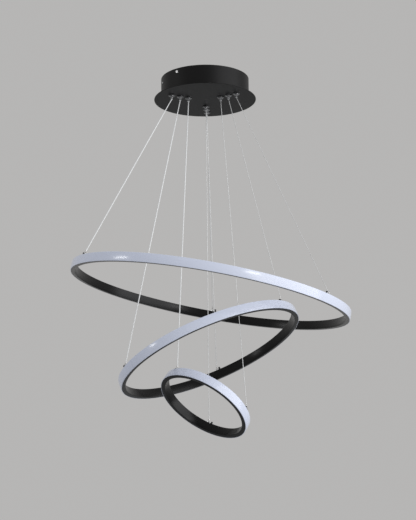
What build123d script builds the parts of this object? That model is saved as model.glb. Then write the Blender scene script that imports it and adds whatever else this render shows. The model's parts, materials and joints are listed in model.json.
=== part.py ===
from build123d import *
import os
from dataclasses import dataclass
from math import cos, degrees, pi, radians, sin, sqrt

# Three-ring pendant light. Millimetres and degrees, +Z up.
# The origin is the centre of the canopy on the ceiling plane, so everything hangs at -Z.
# X runs to the right and Y away from the viewer of the front.

# ---- Canopy -----------------------------------------------------------------------------
DRUM_RADIUS = 95.0
DRUM_HEIGHT = 45.0
DRUM_WALL = 1.0
PLATE_OVERHANG_WIDTH = 15.0
PLATE_THICKNESS = 1.5
PLATE_EDGE_RADIUS = 0.5
TAB_WIDTH = 14.0
TAB_LENGTH = 12.0
TAB_THICKNESS = 1.0
STUD_RADIUS = 1.5
STUD_LENGTH = 6.0
STUD_NUT_FLATS = 5.5
STUD_NUT_HEIGHT = 2.4

# ---- Ceiling bracket and what it carries ------------------------------------------------
BRACKET_WIDTH = 24.0
BRACKET_THICKNESS = 1.5
BRACKET_DEPTH = 16.0
BRACKET_ANGLE = 52.0
BRACKET_BEND_RADIUS = 2.0
CEILING_HOLE_RADIUS = 2.75
CEILING_HOLE_CIRCLE_DIAMETER = 110.0
MAINS_HOLE_RADIUS = 5.0
SIDE_SCREW_RADIUS = 2.0
SIDE_SCREW_HEAD_RADIUS = 3.2
SIDE_SCREW_HEAD_HEIGHT = 2.6
SIDE_SCREW_DEPTH = 8.0
EARTH_SCREW_RADIUS = 1.5
EARTH_HEAD_RADIUS = 2.3
EARTH_HEAD_HEIGHT = 1.2
EARTH_SCREW_LENGTH = 6.0
EARTH_SCREW_ANGLE = 197.0
EARTH_SCREW_DEPTH = 16.0
TERMINAL_LENGTH = 32.0
TERMINAL_WIDTH = 16.0
TERMINAL_HEIGHT = 11.0
TERMINAL_EDGE_LENGTH = 1.0
TERMINAL_DISTANCE = 27.0
TERMINAL_PITCH_LENGTH = 10.0

# ---- Drivers ----------------------------------------------------------------------------
DRIVER_LENGTH = 76.0
DRIVER_WIDTH = 34.0
DRIVER_HEIGHT = 21.0
DRIVER_CORNER_RADIUS = 3.0
DRIVER_TOP_ROUND_RADIUS = 1.0
DRIVER_LID_LINE_DEPTH = 0.6
LEAD_PORT_RADIUS = 1.8
LEAD_PORT_DEPTH = 6.0
DRIVER_EDGE_DISTANCE = 41.0
PAD_LENGTH = 60.0
PAD_WIDTH = 24.0
PAD_THICKNESS = 1.0

# ---- Cable grippers ---------------------------------------------------------------------
GRIPPER_ANGLES = {"left": 207.0, "right": 327.0, "far": 87.0}
GRIPPER_EDGE_DISTANCE = 14.0
GRIPPER_PITCH_LENGTH = 20.0
BARREL_RADIUS = 5.0
BARREL_EDGE_LENGTH = 0.5
BARREL_LENGTH = 16.0
COLLAR_RADIUS = 7.2
COLLAR_HEIGHT = 2.0
BOSS_RADIUS = 5.6
BOSS_HEIGHT = 1.5
MOUTH_DEPTH = 1.2
CHAMBER_RADIUS = 3.4
CHAMBER_ROOF = 2.0
NUT_FLATS = 14.0
NUT_HEIGHT = 4.0
PLUNGER_RADIUS = 2.5
PLUNGER_REACH = 6.0
PLUNGER_FLANGE_RADIUS = 3.25
PLUNGER_FLANGE_HEIGHT = 1.5
PLUNGER_GUIDE_RADIUS = 2.0
PLUNGER_GUIDE_LENGTH = 5.0
PLUNGER_GROOVE_DEPTH = 0.3
PLUNGER_EDGE_LENGTH = 0.5
CABLE_BORE_RADIUS = 1.3
SPRING_WIRE_THICKNESS = 0.7

# ---- Cables and their ends --------------------------------------------------------------
FEED_CABLE_RADIUS = 1.1
WIRE_CABLE_RADIUS = 0.65
SLEEVE_WALL = 0.45
SLEEVE_LENGTH = 5.0
LOOP_WIRE_RADIUS = 0.45
LOOP_CLEARANCE = 0.65

# ---- Rings ------------------------------------------------------------------------------
BAND_HEIGHT = 19.0
BAND_DEPTH = 10.0
PROFILE_WALL = 1.2
PROFILE_EDGE_LENGTH = 0.4
DIFFUSER_FACE_THICKNESS = 1.5
DIFFUSER_EDGE_RADIUS = 0.6
DIFFUSER_LEG_THICKNESS = 1.0
DIFFUSER_LEG_DEPTH = 2.0
DIFFUSER_SEAM_WIDTH = 0.5
PROFILE_SEAM_WIDTH = 0.2
SPLICE_LENGTH = 40.0
SPLICE_DEPTH = 2.4
SPLICE_HEIGHT = 3.0
STRIP_HEIGHT = 8.0
STRIP_THICKNESS = 1.0
STRIP_END_DISTANCE = 6.0
CHIP_PITCH_LENGTH = 16.6
CHIP_WIDTH = 3.5
CHIP_HEIGHT = 2.8
CHIP_THICKNESS = 0.7
BRIDGE_WIRE_RADIUS = 0.8
BRIDGE_SPAN_WIDTH = 5.6
BRIDGE_HEIGHT = 3.6
BRIDGE_BEND_RADIUS = 1.4
BRIDGE_FOOT_LENGTH = 0.6
ANCHOR_SCREW_DISTANCE = 6.4
ANCHOR_SCREW_RADIUS = 1.2
ANCHOR_SCREW_LENGTH = 3.0
ANCHOR_HEAD_RADIUS = 2.2
ANCHOR_HEAD_HEIGHT = 5.6
ANCHOR_HEAD_TAPER_ANGLE = 3.0

# ---- Where each ring hangs, from the canopy's centre on the ceiling ---------------------
LARGE_RING_RADIUS = 300.0
LARGE_RIGHT_DISTANCE = 7.9
LARGE_BACK_DISTANCE = 18.9
LARGE_HANG_DEPTH = 469.8
LARGE_TILT_ANGLE = 11.1
LARGE_LOW_SIDE_ANGLE = -13.6
LARGE_SEAM_ANGLE = 62.0
MEDIUM_RING_RADIUS = 200.0
MEDIUM_RIGHT_DISTANCE = 3.8
MEDIUM_BACK_DISTANCE = -3.1
MEDIUM_HANG_DEPTH = 598.2
MEDIUM_TILT_ANGLE = 22.9
MEDIUM_LOW_SIDE_ANGLE = 161.9
MEDIUM_SEAM_ANGLE = 213.0
SMALL_RING_RADIUS = 100.0
SMALL_RIGHT_DISTANCE = -5.2
SMALL_BACK_DISTANCE = -27.2
SMALL_HANG_DEPTH = 712.6
SMALL_TILT_ANGLE = 35.7
SMALL_LOW_SIDE_ANGLE = 33.5
SMALL_SEAM_ANGLE = 60.0

# ---- Clearances -------------------------------------------------------------------------
SLIDE_CLEARANCE = 0.1
HOLE_CLEARANCE = 0.15
THREAD_CLEARANCE = 0.05
TAPE_THICKNESS = 0.2
LENS_CLEARANCE = 0.1
BRACKET_CLEARANCE = 0.3


# ---- Places worked out from the sizes ---------------------------------------------------
plate_top = -DRUM_HEIGHT
plate_bottom = plate_top - PLATE_THICKNESS
collar_bottom = plate_bottom - COLLAR_HEIGHT
barrel_bottom = collar_bottom - BOSS_HEIGHT
barrel_top = plate_bottom + BARREL_LENGTH
plunger_seat = barrel_bottom + MOUTH_DEPTH
plunger_tip = barrel_bottom - PLUNGER_REACH
mouth_radius = PLUNGER_RADIUS + SLIDE_CLEARANCE
flange_top = plunger_seat + PLUNGER_FLANGE_HEIGHT
chamber_top = barrel_top - CHAMBER_ROOF
plate_radius = DRUM_RADIUS + PLATE_OVERHANG_WIDTH
drum_inside = DRUM_RADIUS - DRUM_WALL
gripper_circle = drum_inside - GRIPPER_EDGE_DISTANCE
bracket_reach = sqrt((drum_inside - BRACKET_CLEARANCE) ** 2 - (BRACKET_WIDTH / 2) ** 2)
side_screw_z = -BRACKET_DEPTH / 2
tab_angles = [angle + 180 for angle in GRIPPER_ANGLES.values()]
tab_centre = drum_inside - TAB_LENGTH / 2
driver_distance = drum_inside - DRIVER_EDGE_DISTANCE
half_band = BAND_HEIGHT / 2
channel_half = half_band - PROFILE_WALL
loop_radius = BRIDGE_WIRE_RADIUS + LOOP_CLEARANCE + LOOP_WIRE_RADIUS


@dataclass
class Ring:
    """One lit ring: its size, where it hangs, and where its three cables meet it."""

    name: str
    radius: float
    centre: tuple
    tilt: float
    low_side: float
    anchors: dict
    seam: float
    gripper_circle: float


RINGS = [
    Ring(
        name="large",
        radius=LARGE_RING_RADIUS,
        centre=(LARGE_RIGHT_DISTANCE, LARGE_BACK_DISTANCE, -LARGE_HANG_DEPTH),
        tilt=LARGE_TILT_ANGLE,
        low_side=LARGE_LOW_SIDE_ANGLE,
        anchors={"left": 206.3, "right": 324.2, "far": 89.5},
        seam=LARGE_SEAM_ANGLE,
        gripper_circle=gripper_circle,
    ),
    Ring(
        name="medium",
        radius=MEDIUM_RING_RADIUS,
        centre=(MEDIUM_RIGHT_DISTANCE, MEDIUM_BACK_DISTANCE, -MEDIUM_HANG_DEPTH),
        tilt=MEDIUM_TILT_ANGLE,
        low_side=MEDIUM_LOW_SIDE_ANGLE,
        anchors={"left": 203.4, "right": 328.0, "far": 83.3},
        seam=MEDIUM_SEAM_ANGLE,
        gripper_circle=gripper_circle - GRIPPER_PITCH_LENGTH,
    ),
    Ring(
        name="small",
        radius=SMALL_RING_RADIUS,
        centre=(SMALL_RIGHT_DISTANCE, SMALL_BACK_DISTANCE, -SMALL_HANG_DEPTH),
        tilt=SMALL_TILT_ANGLE,
        low_side=SMALL_LOW_SIDE_ANGLE,
        anchors={"left": 220.3, "right": 341.0, "far": 89.2},
        seam=SMALL_SEAM_ANGLE,
        gripper_circle=gripper_circle - 2 * GRIPPER_PITCH_LENGTH,
    ),
]


def polar(radius, angle, z=0.0):
    """Point at a radius and an angle round the vertical axis."""
    return Vector(radius * cos(radians(angle)), radius * sin(radians(angle)), z)


def finish(part, name):
    """Label a finished piece and write it as one file."""
    part.label = name
    export_step(part, f"parts/{name}.step")


def ring_plane(ring):
    """Plane of a ring: its origin is the ring's centre and its z is square to the ring."""
    lean = radians(ring.tilt)
    normal = polar(sin(lean), ring.low_side, cos(lean))
    across = (Vector(1, 0, 0) - normal * normal.X).normalized()
    return Plane(origin=ring.centre, x_dir=across, z_dir=normal)


def channel_middle(ring):
    """Radius of the middle of the profile's top flange, where the cables are anchored."""
    return ring.radius - (BAND_DEPTH + DIFFUSER_FACE_THICKNESS) / 2


def anchor_plane(ring, angle):
    """Plane on top of a ring at an anchor: x along the ring, y inwards, z square to the ring."""
    plane = ring_plane(ring)
    origin = plane.from_local_coords(polar(channel_middle(ring), angle, half_band))
    along = plane.from_local_coords(polar(1, angle + 90)) - plane.origin
    return Plane(origin=origin, x_dir=along, z_dir=plane.z_dir)


def pivot(ring, side):
    """Centre of the bridge wire that a cable's loop turns on."""
    plane = anchor_plane(ring, ring.anchors[side])
    return plane.origin + plane.z_dir * BRIDGE_HEIGHT


def gripper_point(ring, side, z):
    """Point on a gripper's axis at a height."""
    return polar(ring.gripper_circle, GRIPPER_ANGLES[side], z)


def cable_radius(side):
    """The left cables carry the supply in a clear jacket, and the others are bare steel wire."""
    return FEED_CABLE_RADIUS if side == "left" else WIRE_CABLE_RADIUS


def sleeve_reach():
    """Distance from a loop's centre to the top of its crimp sleeve."""
    return loop_radius + SLEEVE_LENGTH


GRIPPERS = [(ring, side) for ring in RINGS for side in GRIPPER_ANGLES]


# ---- Canopy -----------------------------------------------------------------------------
def canopy_drum():
    side_holes = [BRACKET_ANGLE, BRACKET_ANGLE + 180]
    with BuildPart() as drum:
        with BuildSketch(Plane.XY.offset(plate_top)):
            Circle(DRUM_RADIUS)
            Circle(drum_inside, mode=Mode.SUBTRACT)
        extrude(amount=DRUM_HEIGHT)
        with BuildSketch(Plane.XY.offset(plate_top)) as tabs:
            with PolarLocations(tab_centre + DRUM_WALL / 4, len(tab_angles), start_angle=tab_angles[0]):
                Rectangle(TAB_LENGTH + DRUM_WALL / 2, TAB_WIDTH)
        extrude(amount=TAB_THICKNESS)
        for angle in tab_angles:
            with BuildSketch(Plane(origin=polar(tab_centre, angle, plate_top))):
                Circle(STUD_RADIUS + HOLE_CLEARANCE)
            extrude(amount=TAB_THICKNESS, mode=Mode.SUBTRACT)
        for angle in side_holes:
            with BuildSketch(Plane(origin=(0, 0, side_screw_z), z_dir=polar(1, angle))):
                Circle(SIDE_SCREW_RADIUS + HOLE_CLEARANCE)
            extrude(amount=plate_radius, mode=Mode.SUBTRACT)
        with BuildSketch(Plane(origin=(0, 0, -EARTH_SCREW_DEPTH), z_dir=polar(1, EARTH_SCREW_ANGLE))):
            Circle(EARTH_SCREW_RADIUS + HOLE_CLEARANCE)
        extrude(amount=plate_radius, mode=Mode.SUBTRACT)
    finish(drum.part, "canopy_drum")


def canopy_plate():
    with BuildPart() as plate:
        with BuildSketch(Plane.XY.offset(plate_bottom)):
            Circle(plate_radius)
            for ring, side in GRIPPERS:
                with Locations(gripper_point(ring, side, 0)):
                    Circle(BARREL_RADIUS + HOLE_CLEARANCE, mode=Mode.SUBTRACT)
        extrude(amount=PLATE_THICKNESS)
        rim = plate.edges().filter_by(GeomType.CIRCLE).sort_by(SortBy.RADIUS)[-2:]
        fillet(rim, PLATE_EDGE_RADIUS)
        for angle in tab_angles:
            with BuildSketch(Plane(origin=polar(tab_centre, angle, plate_top))):
                Circle(STUD_RADIUS)
            extrude(amount=STUD_LENGTH)
    finish(plate.part, "canopy_plate")


def plate_nuts():
    seat = plate_top + TAB_THICKNESS
    with BuildPart() as nuts:
        for angle in tab_angles:
            with BuildSketch(Plane(origin=polar(tab_centre, angle, seat))):
                RegularPolygon(STUD_NUT_FLATS / 2, 6, major_radius=False)
                Circle(STUD_RADIUS + THREAD_CLEARANCE, mode=Mode.SUBTRACT)
            extrude(amount=STUD_NUT_HEIGHT)
    finish(nuts.part, "plate_nuts")


def ceiling_bracket():
    along = polar(1, BRACKET_ANGLE)
    flat = Plane(origin=(0, 0, 0), x_dir=along, z_dir=(0, 0, -1))
    side = Plane(origin=(0, 0, 0), x_dir=along, z_dir=Vector(0, 0, 1).cross(along) * -1)
    with BuildPart() as bracket:
        with BuildSketch(side):
            with BuildLine():
                strip = FilletPolyline(
                    (-bracket_reach, -BRACKET_DEPTH), (-bracket_reach, 0),
                    (bracket_reach, 0), (bracket_reach, -BRACKET_DEPTH),
                    radius=BRACKET_BEND_RADIUS,
                )
                offset(strip, amount=BRACKET_THICKNESS, side=Side.RIGHT)
            make_face()
        extrude(amount=BRACKET_WIDTH / 2, both=True)
        with BuildSketch(flat):
            Circle(MAINS_HOLE_RADIUS)
            with PolarLocations(CEILING_HOLE_CIRCLE_DIAMETER / 2, 2):
                Circle(CEILING_HOLE_RADIUS)
        extrude(amount=BRACKET_THICKNESS, mode=Mode.SUBTRACT)
        with BuildSketch(Plane(origin=(0, 0, side_screw_z), z_dir=along)):
            Circle(SIDE_SCREW_RADIUS + THREAD_CLEARANCE)
        extrude(amount=DRUM_RADIUS, both=True, mode=Mode.SUBTRACT)
    finish(bracket.part, "ceiling_bracket")


def bracket_screws():
    with BuildPart() as screws:
        for angle in (BRACKET_ANGLE, BRACKET_ANGLE + 180):
            out = polar(1, angle)
            seat = polar(DRUM_RADIUS, angle, side_screw_z)
            with BuildSketch(Plane(origin=seat, z_dir=out)):
                Circle(SIDE_SCREW_HEAD_RADIUS)
            extrude(amount=SIDE_SCREW_HEAD_HEIGHT)
            crown = screws.faces().sort_by(Axis(seat, out))[-1]
            fillet(crown.edges(), SIDE_SCREW_HEAD_HEIGHT / 3)
            with BuildSketch(Plane(origin=seat + out * SIDE_SCREW_HEAD_HEIGHT, z_dir=out)):
                SlotOverall(SIDE_SCREW_HEAD_RADIUS, SIDE_SCREW_HEAD_HEIGHT / 3)
            extrude(amount=-SIDE_SCREW_HEAD_HEIGHT / 2, mode=Mode.SUBTRACT)
            with BuildSketch(Plane(origin=seat, z_dir=out * -1)):
                Circle(SIDE_SCREW_RADIUS)
            extrude(amount=SIDE_SCREW_DEPTH)
    finish(screws.part, "bracket_screws")


def earth_screw():
    out = polar(1, EARTH_SCREW_ANGLE)
    seat = polar(DRUM_RADIUS, EARTH_SCREW_ANGLE, -EARTH_SCREW_DEPTH)
    wall = DRUM_WALL + HOLE_CLEARANCE
    with BuildPart() as screw:
        with BuildSketch(Plane(origin=seat, z_dir=out)):
            Circle(EARTH_HEAD_RADIUS)
        extrude(amount=EARTH_HEAD_HEIGHT, taper=20)
        with BuildSketch(Plane(origin=seat, z_dir=out * -1)):
            Circle(EARTH_SCREW_RADIUS)
        extrude(amount=EARTH_SCREW_LENGTH)
        with BuildSketch(Plane(origin=seat - out * wall, z_dir=out * -1)):
            RegularPolygon(STUD_NUT_FLATS / 2, 6, major_radius=False)
        extrude(amount=STUD_NUT_HEIGHT)
    finish(screw.part, "earth_screw")


def terminal_block():
    along = polar(1, BRACKET_ANGLE)
    seat = polar(TERMINAL_DISTANCE, BRACKET_ANGLE, -BRACKET_THICKNESS)
    base = Plane(origin=seat, x_dir=along, z_dir=(0, 0, -1))
    end = Plane(origin=base.origin + Vector(0, 0, -TERMINAL_HEIGHT * 0.6), x_dir=along, z_dir=base.y_dir)
    with BuildPart() as block:
        with BuildSketch(base):
            Rectangle(TERMINAL_LENGTH, TERMINAL_WIDTH)
        extrude(amount=TERMINAL_HEIGHT)
        chamfer(block.faces().sort_by(Axis.Z)[0].edges(), TERMINAL_EDGE_LENGTH)
        with BuildSketch(end):
            with GridLocations(TERMINAL_PITCH_LENGTH, 1, 3, 1):
                Circle(TERMINAL_PITCH_LENGTH * 0.2)
        extrude(amount=TERMINAL_WIDTH, both=True, mode=Mode.SUBTRACT)
        with BuildSketch(base.offset(TERMINAL_HEIGHT)):
            with GridLocations(TERMINAL_PITCH_LENGTH, TERMINAL_WIDTH / 2, 3, 2):
                Circle(TERMINAL_PITCH_LENGTH * 0.18)
        extrude(amount=-TERMINAL_HEIGHT / 3, mode=Mode.SUBTRACT)
    finish(block.part, "terminal_block")


# ---- Drivers ----------------------------------------------------------------------------
def driver_plane(index):
    """Plane on the canopy plate under a driver: x along the case, y towards the canopy's centre."""
    angle = tab_angles[index]
    seat = polar(driver_distance, angle, plate_top)
    return Plane(origin=seat, x_dir=polar(1, angle + 90), z_dir=(0, 0, 1))


def driver(index, name):
    base = driver_plane(index).offset(PAD_THICKNESS)
    lid = base.offset(DRIVER_HEIGHT * 0.75)
    with BuildPart() as case:
        with BuildSketch(base):
            RectangleRounded(DRIVER_LENGTH, DRIVER_WIDTH, DRIVER_CORNER_RADIUS)
        extrude(amount=DRIVER_HEIGHT)
        fillet(case.faces().sort_by(Axis.Z)[-1].edges(), DRIVER_TOP_ROUND_RADIUS)
        with BuildSketch(lid):
            RectangleRounded(DRIVER_LENGTH, DRIVER_WIDTH, DRIVER_CORNER_RADIUS)
            offset(amount=-DRIVER_LID_LINE_DEPTH, mode=Mode.SUBTRACT)
        extrude(amount=DRIVER_LID_LINE_DEPTH, mode=Mode.SUBTRACT)
        for end in (-1, 1):
            port = base.origin + base.x_dir * (end * DRIVER_LENGTH / 2) + Vector(0, 0, DRIVER_HEIGHT / 2)
            with BuildSketch(Plane(origin=port, x_dir=base.y_dir, z_dir=base.x_dir * -end)):
                with GridLocations(DRIVER_WIDTH / 4, 1, 2, 1):
                    Circle(LEAD_PORT_RADIUS)
            extrude(amount=LEAD_PORT_DEPTH, mode=Mode.SUBTRACT)
    finish(case.part, name)


def driver_pads():
    with BuildPart() as pads:
        for index in range(len(tab_angles)):
            with BuildSketch(driver_plane(index)):
                Rectangle(PAD_LENGTH, PAD_WIDTH)
            extrude(amount=PAD_THICKNESS)
    finish(pads.part, "driver_pads")


# ---- Cable grippers ---------------------------------------------------------------------
def gripper_barrels():
    with BuildPart() as barrels:
        for ring, side in GRIPPERS:
            axis = gripper_point(ring, side, 0)
            half_section = Plane(origin=axis, x_dir=(1, 0, 0), z_dir=(0, -1, 0))
            with BuildSketch(half_section):
                with BuildLine():
                    Polyline(
                        (mouth_radius, barrel_bottom), (BOSS_RADIUS - BARREL_EDGE_LENGTH, barrel_bottom),
                        (BOSS_RADIUS, barrel_bottom + BARREL_EDGE_LENGTH), (BOSS_RADIUS, collar_bottom),
                        (COLLAR_RADIUS - BARREL_EDGE_LENGTH, collar_bottom),
                        (COLLAR_RADIUS, collar_bottom + BARREL_EDGE_LENGTH),
                        (COLLAR_RADIUS, plate_bottom), (BARREL_RADIUS, plate_bottom),
                        (BARREL_RADIUS, barrel_top), (CABLE_BORE_RADIUS, barrel_top),
                        (CABLE_BORE_RADIUS, chamber_top), (CHAMBER_RADIUS, chamber_top),
                        (CHAMBER_RADIUS, plunger_seat), (mouth_radius, plunger_seat),
                        close=True,
                    )
                make_face()
            revolve(axis=Axis(axis, (0, 0, 1)))
    finish(barrels.part, "gripper_barrels")


def gripper_nuts():
    with BuildPart() as nuts:
        for ring, side in GRIPPERS:
            seat = gripper_point(ring, side, plate_top)
            with BuildSketch(Plane(origin=seat, x_dir=polar(1, GRIPPER_ANGLES[side] + 90))):
                RegularPolygon(NUT_FLATS / 2, 6, major_radius=False)
                Circle(BARREL_RADIUS + THREAD_CLEARANCE, mode=Mode.SUBTRACT)
            extrude(amount=NUT_HEIGHT)
    finish(nuts.part, "gripper_nuts")


def gripper_springs():
    outside = CHAMBER_RADIUS - SLIDE_CLEARANCE
    with BuildPart() as springs:
        for ring, side in GRIPPERS:
            with BuildSketch(Plane(origin=gripper_point(ring, side, flange_top))):
                Circle(outside)
                Circle(outside - SPRING_WIRE_THICKNESS, mode=Mode.SUBTRACT)
            extrude(amount=chamber_top - flange_top)
    finish(springs.part, "gripper_springs")


def plunger(ring, side):
    axis = gripper_point(ring, side, 0)
    guide_top = flange_top + PLUNGER_GUIDE_LENGTH
    waist = plunger_tip + PLUNGER_REACH / 2
    with BuildPart() as nipple:
        with BuildSketch(Plane(origin=axis, x_dir=(1, 0, 0), z_dir=(0, -1, 0))):
            with BuildLine():
                Polyline(
                    (CABLE_BORE_RADIUS, plunger_tip), (PLUNGER_RADIUS - PLUNGER_EDGE_LENGTH, plunger_tip),
                    (PLUNGER_RADIUS, plunger_tip + PLUNGER_EDGE_LENGTH),
                    (PLUNGER_RADIUS, waist - PLUNGER_EDGE_LENGTH),
                    (PLUNGER_RADIUS - PLUNGER_GROOVE_DEPTH, waist),
                    (PLUNGER_RADIUS, waist + PLUNGER_EDGE_LENGTH),
                    (PLUNGER_RADIUS, plunger_seat), (PLUNGER_FLANGE_RADIUS, plunger_seat),
                    (PLUNGER_FLANGE_RADIUS, flange_top), (PLUNGER_GUIDE_RADIUS, flange_top),
                    (PLUNGER_GUIDE_RADIUS, guide_top), (CABLE_BORE_RADIUS, guide_top),
                    close=True,
                )
            make_face()
        revolve(axis=Axis(axis, (0, 0, 1)))
    finish(nipple.part, f"{ring.name}_{side}_plunger")


# ---- Cables -----------------------------------------------------------------------------
def cable(ring, side):
    top = gripper_point(ring, side, plunger_tip)
    bottom = pivot(ring, side)
    up = (top - bottom).normalized()
    start = bottom + up * sleeve_reach()
    length = (top - start).length
    spare = 3 * cable_radius(side)
    with BuildPart() as wire:
        with BuildSketch(Plane(origin=start, z_dir=up)):
            Circle(cable_radius(side))
        extrude(amount=length + spare)
        split(bisect_by=Plane.XY.offset(plunger_tip), keep=Keep.BOTTOM)
    finish(wire.part, f"{ring.name}_{side}_cable")
    print(f"{ring.name}_{side}_cable: length {length:.1f} mm")


def cable_end(ring, side):
    centre = pivot(ring, side)
    up = (gripper_point(ring, side, plunger_tip) - centre).normalized()
    along = anchor_plane(ring, ring.anchors[side]).x_dir
    across = (along - up * along.dot(up)).normalized()
    sleeve = cable_radius(side) + SLEEVE_WALL
    cone = SLEEVE_LENGTH * 0.4
    neck = loop_radius - LOOP_WIRE_RADIUS
    with BuildPart() as end:
        with BuildSketch(Plane(origin=centre, x_dir=across, z_dir=up)) as loop_wire:
            with Locations((0, loop_radius)):
                Circle(LOOP_WIRE_RADIUS)
        revolve(axis=Axis(centre, across))
        with BuildSketch(Plane(origin=centre, x_dir=across, z_dir=across.cross(up))):
            with BuildLine():
                Polyline(
                    (0, neck), (2 * LOOP_WIRE_RADIUS, neck), (sleeve, neck + cone),
                    (sleeve, sleeve_reach()), (0, sleeve_reach()),
                    close=True,
                )
            make_face()
        revolve(axis=Axis(centre, up))
    finish(end.part, f"{ring.name}_{side}_cable_end")


# ---- Rings ------------------------------------------------------------------------------
def seam_plane(ring):
    """Plane in the middle of the band where its two ends meet: x outwards, z along the ring's axis."""
    plane = ring_plane(ring)
    out = (plane.from_local_coords(polar(1, ring.seam)) - plane.origin).normalized()
    middle = plane.origin + out * (ring.radius - BAND_DEPTH / 2)
    return Plane(origin=middle, x_dir=out, z_dir=plane.z_dir)


def section_plane(ring):
    """Plane through a ring's axis for half sections: x outwards and y along the axis."""
    plane = ring_plane(ring)
    return Plane(origin=plane.origin, x_dir=plane.x_dir, z_dir=plane.y_dir * -1)


def profile(ring):
    inner = ring.radius - BAND_DEPTH
    mouth = ring.radius - DIFFUSER_FACE_THICKNESS - LENS_CLEARANCE
    back = inner + PROFILE_WALL
    with BuildPart() as channel:
        with BuildSketch(section_plane(ring)):
            with BuildLine():
                Polyline(
                    (inner, half_band - PROFILE_EDGE_LENGTH), (inner + PROFILE_EDGE_LENGTH, half_band),
                    (mouth, half_band), (mouth, channel_half), (back, channel_half),
                    (back, -channel_half), (mouth, -channel_half), (mouth, -half_band),
                    (inner + PROFILE_EDGE_LENGTH, -half_band), (inner, -half_band + PROFILE_EDGE_LENGTH),
                    close=True,
                )
            make_face()
        revolve(axis=Axis(ring_plane(ring).origin, ring_plane(ring).z_dir))
        with BuildSketch(seam_plane(ring)):
            Rectangle(BAND_DEPTH * 2, PROFILE_SEAM_WIDTH)
        extrude(amount=BAND_HEIGHT, both=True, mode=Mode.SUBTRACT)
        for angle in ring.anchors.values():
            stand = anchor_plane(ring, angle)
            with BuildSketch(stand):
                with GridLocations(BRIDGE_SPAN_WIDTH, 1, 2, 1):
                    Circle(BRIDGE_WIRE_RADIUS + HOLE_CLEARANCE)
                with Locations((-ANCHOR_SCREW_DISTANCE, 0)):
                    Circle(ANCHOR_SCREW_RADIUS + HOLE_CLEARANCE)
            extrude(amount=-PROFILE_WALL * 1.5, mode=Mode.SUBTRACT)
    finish(channel.part, f"{ring.name}_profile")


def diffuser(ring):
    outer = ring.radius
    face = ring.radius - DIFFUSER_FACE_THICKNESS
    leg_end = face - DIFFUSER_LEG_DEPTH
    leg_outside = channel_half - SLIDE_CLEARANCE
    leg_inside = leg_outside - DIFFUSER_LEG_THICKNESS
    with BuildPart() as lens:
        with BuildSketch(section_plane(ring)):
            with BuildLine():
                FilletPolyline(
                    (face, half_band), (outer, half_band), (outer, -half_band), (face, -half_band),
                    radius=DIFFUSER_EDGE_RADIUS,
                )
                Polyline(
                    (face, -half_band), (face, -leg_outside), (leg_end, -leg_outside),
                    (leg_end, -leg_inside), (face, -leg_inside), (face, leg_inside),
                    (leg_end, leg_inside), (leg_end, leg_outside), (face, leg_outside),
                    (face, half_band),
                )
            make_face()
        revolve(axis=Axis(ring_plane(ring).origin, ring_plane(ring).z_dir))
        with BuildSketch(seam_plane(ring)):
            Rectangle(BAND_DEPTH * 2, DIFFUSER_SEAM_WIDTH)
        extrude(amount=BAND_HEIGHT, both=True, mode=Mode.SUBTRACT)
    finish(lens.part, f"{ring.name}_diffuser")


def led_strip(ring):
    back = ring.radius - BAND_DEPTH + PROFILE_WALL + TAPE_THICKNESS
    front = back + STRIP_THICKNESS
    end_angle = degrees(STRIP_END_DISTANCE / back)
    sweep_angle = 360 - 2 * end_angle
    count = int(2 * pi * back * sweep_angle / 360 / CHIP_PITCH_LENGTH)
    plane = ring_plane(ring)
    with BuildPart() as strip:
        with BuildSketch(plane.offset(-STRIP_HEIGHT / 2)):
            Circle(front)
            Circle(back, mode=Mode.SUBTRACT)
            with Locations(polar(back, ring.seam)):
                Rectangle(BAND_DEPTH, 2 * STRIP_END_DISTANCE, rotation=ring.seam, mode=Mode.SUBTRACT)
        extrude(amount=STRIP_HEIGHT)
        with BuildSketch(plane.offset(-CHIP_HEIGHT / 2)):
            first = ring.seam + end_angle + sweep_angle / count / 2
            with PolarLocations(front, count, start_angle=first, angular_range=sweep_angle):
                Rectangle(2 * CHIP_THICKNESS, CHIP_WIDTH)
            Circle(front - STRIP_THICKNESS / 2, mode=Mode.SUBTRACT)
        extrude(amount=CHIP_HEIGHT)
    finish(strip.part, f"{ring.name}_led_strip")


def splice(ring):
    back = ring.radius - BAND_DEPTH + PROFILE_WALL + TAPE_THICKNESS
    half_angle = degrees(SPLICE_LENGTH / 2 / back)
    plane = ring_plane(ring)
    with BuildPart() as key:
        with BuildSketch(plane.offset(-channel_half)):
            with BuildLine():
                inside = CenterArc((0, 0), back, ring.seam - half_angle, 2 * half_angle)
                outside = CenterArc((0, 0), back + SPLICE_DEPTH, ring.seam - half_angle, 2 * half_angle)
                Line(inside @ 0, outside @ 0)
                Line(inside @ 1, outside @ 1)
            make_face()
        extrude(amount=SPLICE_HEIGHT)
    finish(key.part, f"{ring.name}_splice")


def anchor_bridges(ring):
    half_span = BRIDGE_SPAN_WIDTH / 2
    foot = -PROFILE_WALL - BRIDGE_FOOT_LENGTH
    with BuildPart() as bridges:
        for angle in ring.anchors.values():
            stand = anchor_plane(ring, angle)
            upright = Plane(origin=stand.origin, x_dir=stand.x_dir, z_dir=stand.y_dir * -1)
            with BuildLine(upright) as wire:
                FilletPolyline(
                    (-half_span, foot), (-half_span, BRIDGE_HEIGHT),
                    (half_span, BRIDGE_HEIGHT), (half_span, foot),
                    radius=BRIDGE_BEND_RADIUS,
                )
            with BuildSketch(Plane(origin=wire.line @ 0, z_dir=wire.line % 0)):
                Circle(BRIDGE_WIRE_RADIUS)
            sweep()
    finish(bridges.part, f"{ring.name}_anchor_bridges")


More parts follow.
